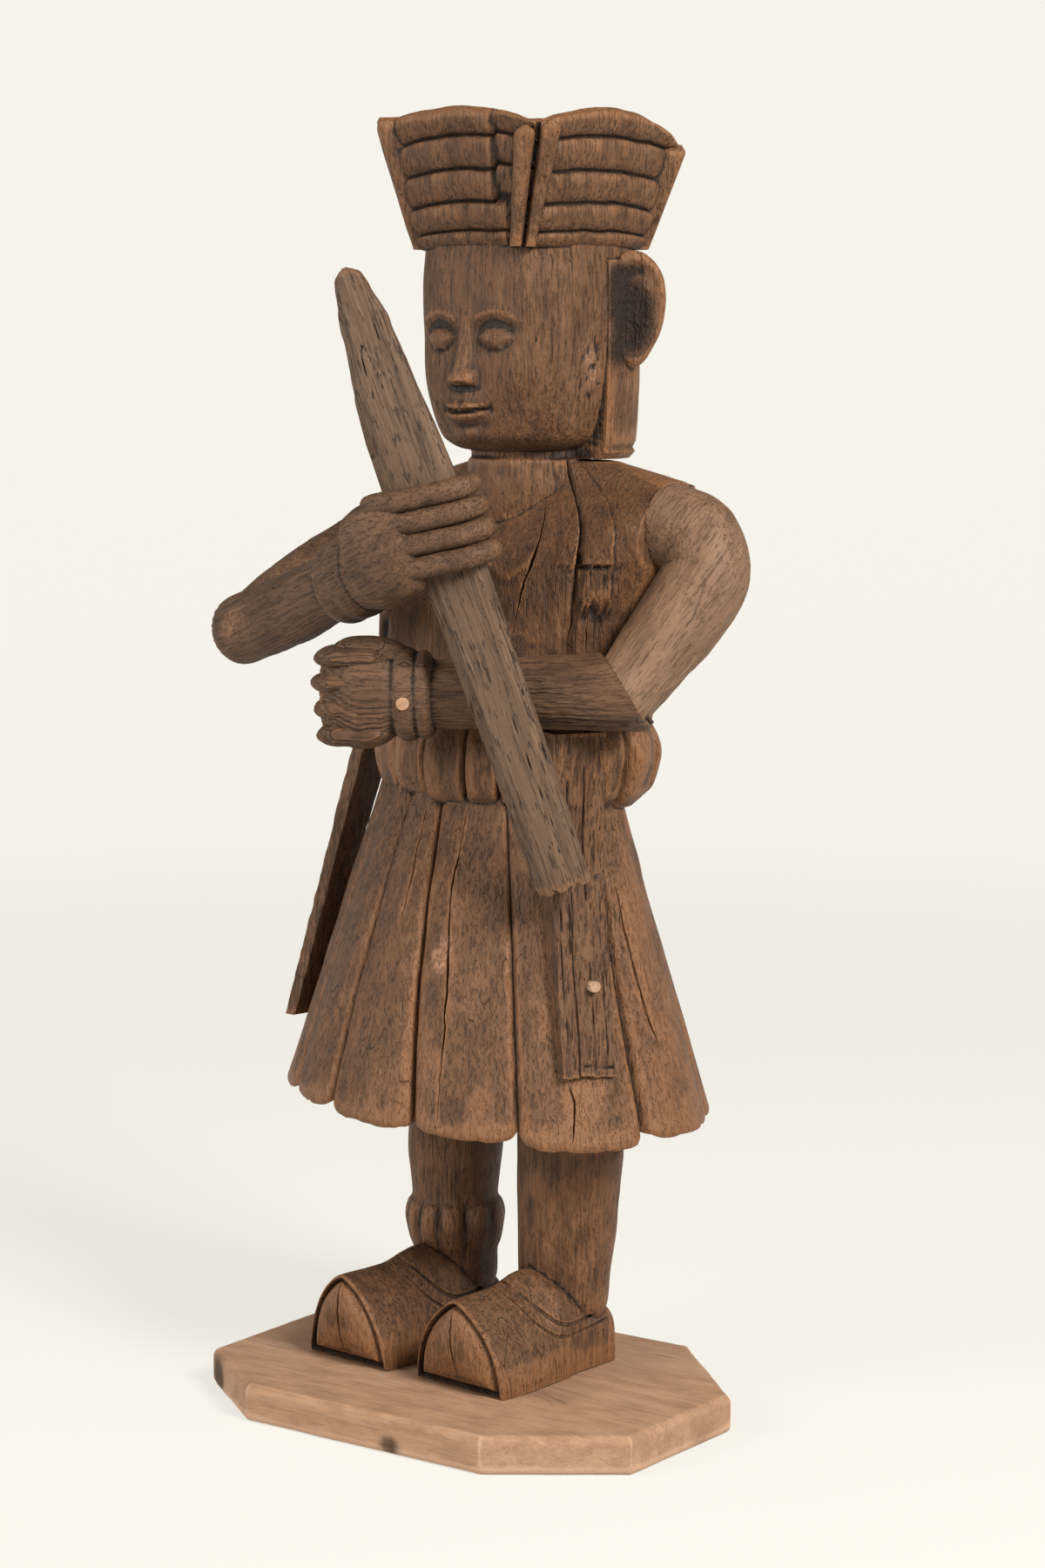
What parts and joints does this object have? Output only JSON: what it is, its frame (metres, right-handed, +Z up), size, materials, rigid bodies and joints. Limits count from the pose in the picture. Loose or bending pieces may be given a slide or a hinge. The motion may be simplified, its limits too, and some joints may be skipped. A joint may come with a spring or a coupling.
{
  "type": "carved wooden doorkeeper figure",
  "caption": "Carved wooden temple doorkeeper standing on an octagonal board, in a flared turban, wrapped jacket and pleated skirt, the right hand closed round an upright sword.",
  "frame": {"origin": "centre of the underside of the base board", "axes": "+Z up out of the board, the board's front edge towards -Y, the figure's left hand side towards +X; the figure itself is turned 7 degrees towards its own right on the board"},
  "size_m": [0.4026, 0.3101, 0.9094],
  "materials": {
    "board_wood": "dry, worn, pinkish tan",
    "carved_wood": "dark weathered patina with worn reddish edges",
    "sword_wood": "grey-brown, coarse and dry",
    "peg_wood": "paler end grain",
    "nail_iron": "rusted black"
  },
  "bodies": {
    "root": {"base_board": "board_wood", "figure_trunk": "carved_wood", "right_arm": "carved_wood", "sword": "sword_wood", "left_upper_arm": "carved_wood", "left_forearm": "carved_wood", "wrist_peg": "peg_wood", "left_sash_strip": "carved_wood", "sash_peg": "peg_wood", "right_sash_strip": "carved_wood", "shoulder_nail": "nail_iron", "elbow_nail": "nail_iron"}
  },
  "joints": []
}
